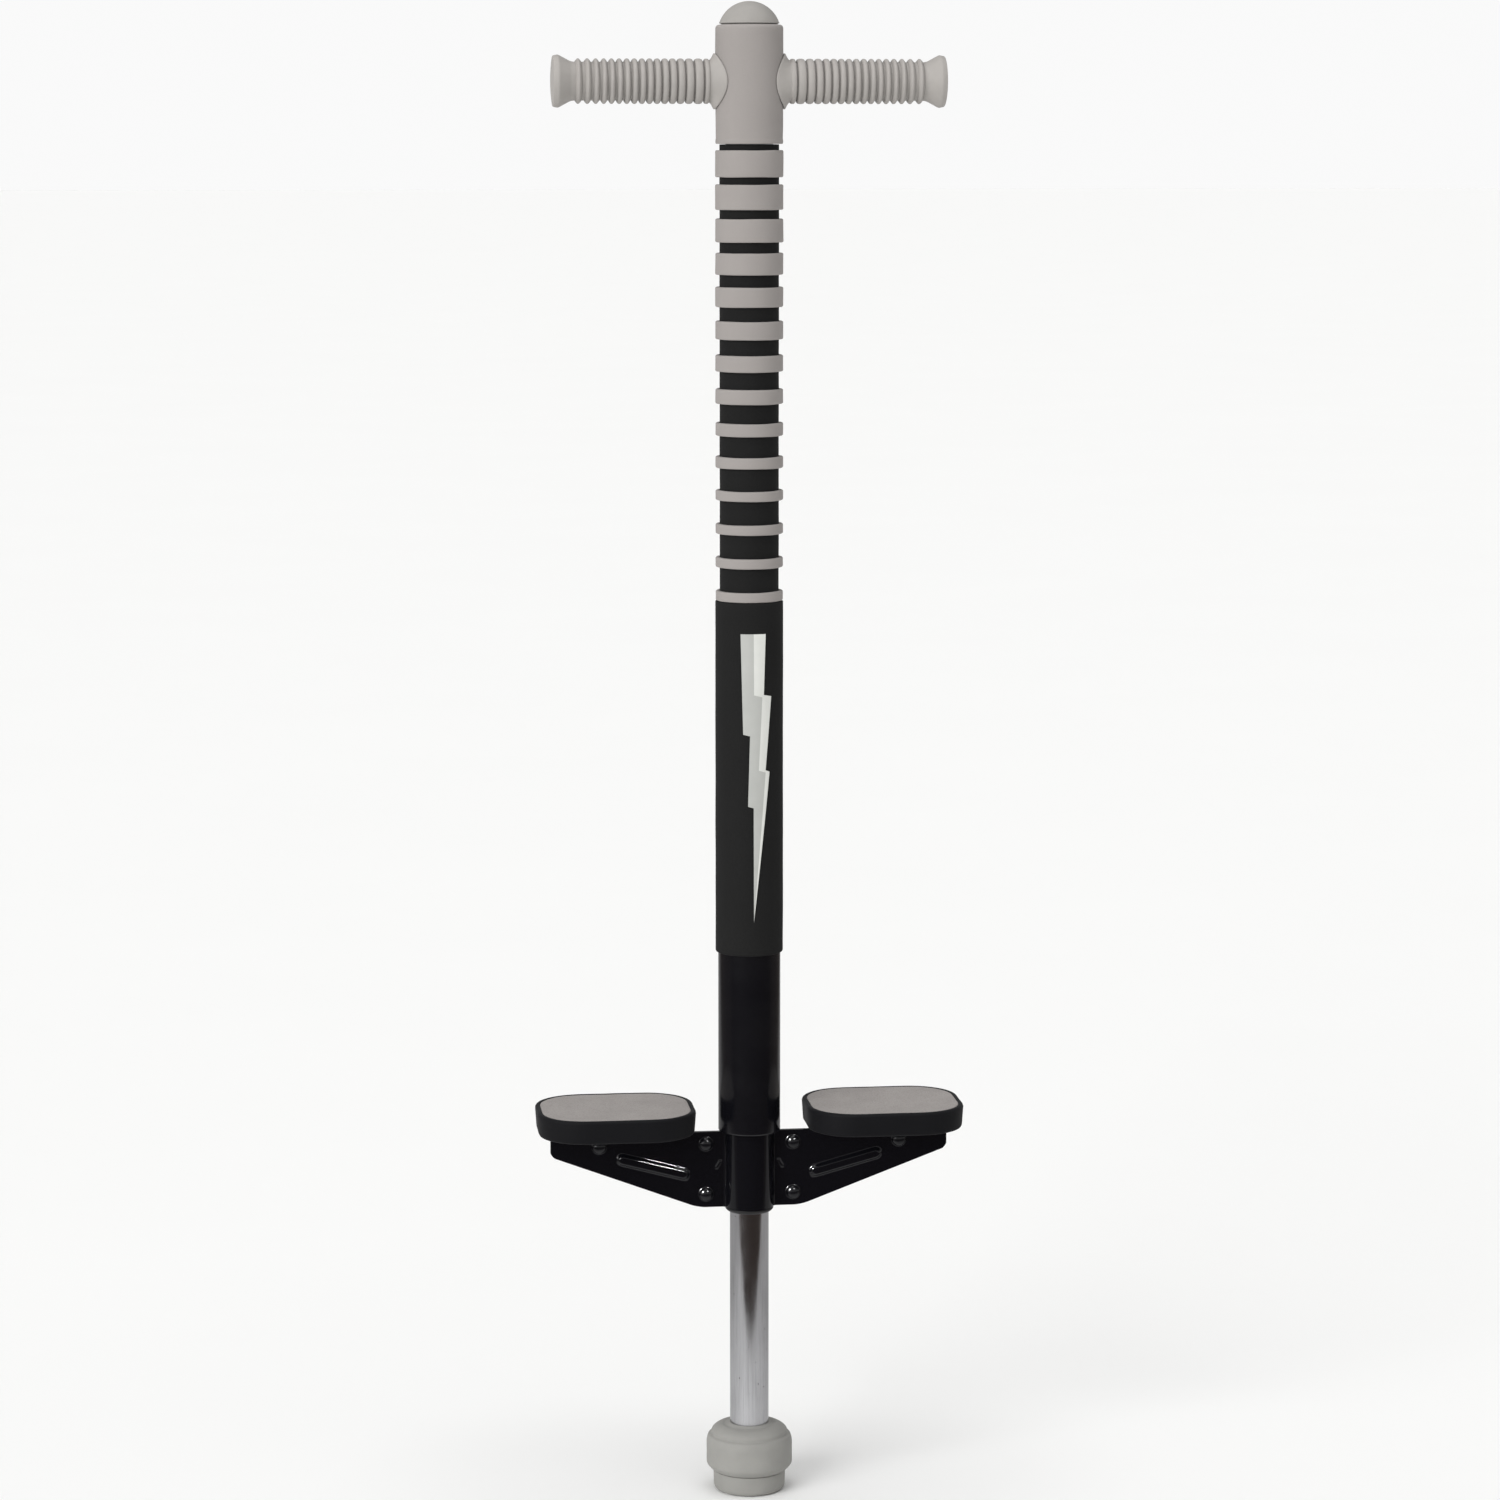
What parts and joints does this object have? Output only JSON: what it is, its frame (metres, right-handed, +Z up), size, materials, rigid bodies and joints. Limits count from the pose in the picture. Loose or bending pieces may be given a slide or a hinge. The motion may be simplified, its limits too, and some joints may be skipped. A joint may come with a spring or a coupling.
{
  "type": "pogo stick",
  "caption": "Youth pogo stick: T-handled steel column with foam sleeve and rings, two rubber pedals on a pressed bracket, and a chrome piston on a coil spring with a rubber foot.",
  "frame": {"origin": "on the ground under the stick's axis, at the centre of the foot's sole", "axes": "+Z up along the stick's axis, +X along the handlebar to the right, -Y towards the front with the graphic"},
  "size_m": [0.263, 0.079, 0.9144],
  "materials": {
    "grey_foam": "matte moulded foam, warm light grey",
    "grey_rubber": "matte moulded rubber, light grey",
    "black_foam": "matte closed-cell foam, near black",
    "silver_print": "satin print in two greys",
    "black_enamel": "gloss black enamel on steel",
    "black_rubber": "matte black rubber",
    "grey_tread": "fine pebbled grey rubber",
    "chrome": "polished chrome plate",
    "steel": "plain bright steel",
    "black_nylon": "smooth black nylon"
  },
  "bodies": {
    "frame": {"handle_hub": "grey_foam", "ring_01": "grey_foam", "ring_02": "grey_foam", "ring_03": "grey_foam", "ring_04": "grey_foam", "ring_05": "grey_foam", "ring_06": "grey_foam", "ring_07": "grey_foam", "ring_08": "grey_foam", "ring_09": "grey_foam", "ring_10": "grey_foam", "ring_11": "grey_foam", "ring_12": "grey_foam", "ring_13": "grey_foam", "ring_14": "grey_foam", "top_cap": "grey_rubber", "grip_left": "grey_rubber", "grip_right": "grey_rubber", "foam_sleeve": "black_foam", "bolt_graphic": "silver_print", "spring_housing": "black_enamel", "handlebar_tube": "black_enamel", "bracket_front": "black_enamel", "bracket_rear": "black_enamel", "rivet_left_1": "black_enamel", "rivet_left_2": "black_enamel", "rivet_left_3": "black_enamel", "rivet_right_1": "black_enamel", "rivet_right_2": "black_enamel", "rivet_right_3": "black_enamel", "pedal_rubber_left": "black_rubber", "pedal_rubber_right": "black_rubber", "rebound_bumper": "black_rubber", "pedal_tread_left": "grey_tread", "pedal_tread_right": "grey_tread", "upper_tube": "steel", "tube_reducer": "steel", "spring_stop_pin": "steel", "main_spring": "steel", "spring_top_washer": "steel", "guide_bushing": "black_nylon", "wiper_ring": "black_nylon"},
    "spring_seat": {"spring_seat": "steel"},
    "piston": {"piston_tube": "chrome", "piston_head": "steel", "rubber_foot": "grey_rubber", "foot_washer": "steel"}
  },
  "joints": [
    {"name": "piston_slide", "type": "slide", "parent": "frame", "child": "spring_seat", "axis": [0, 0, 1], "range_m": [0, 0.095], "stiffness_N_per_m": 6300, "springref_m": -0.025, "deforming": ["main_spring"]},
    {"name": "piston_turn", "type": "hinge", "parent": "spring_seat", "child": "piston", "pos_m": [0, 0, 0.2566], "axis": [0, 0, 1], "continuous": true}
  ]
}
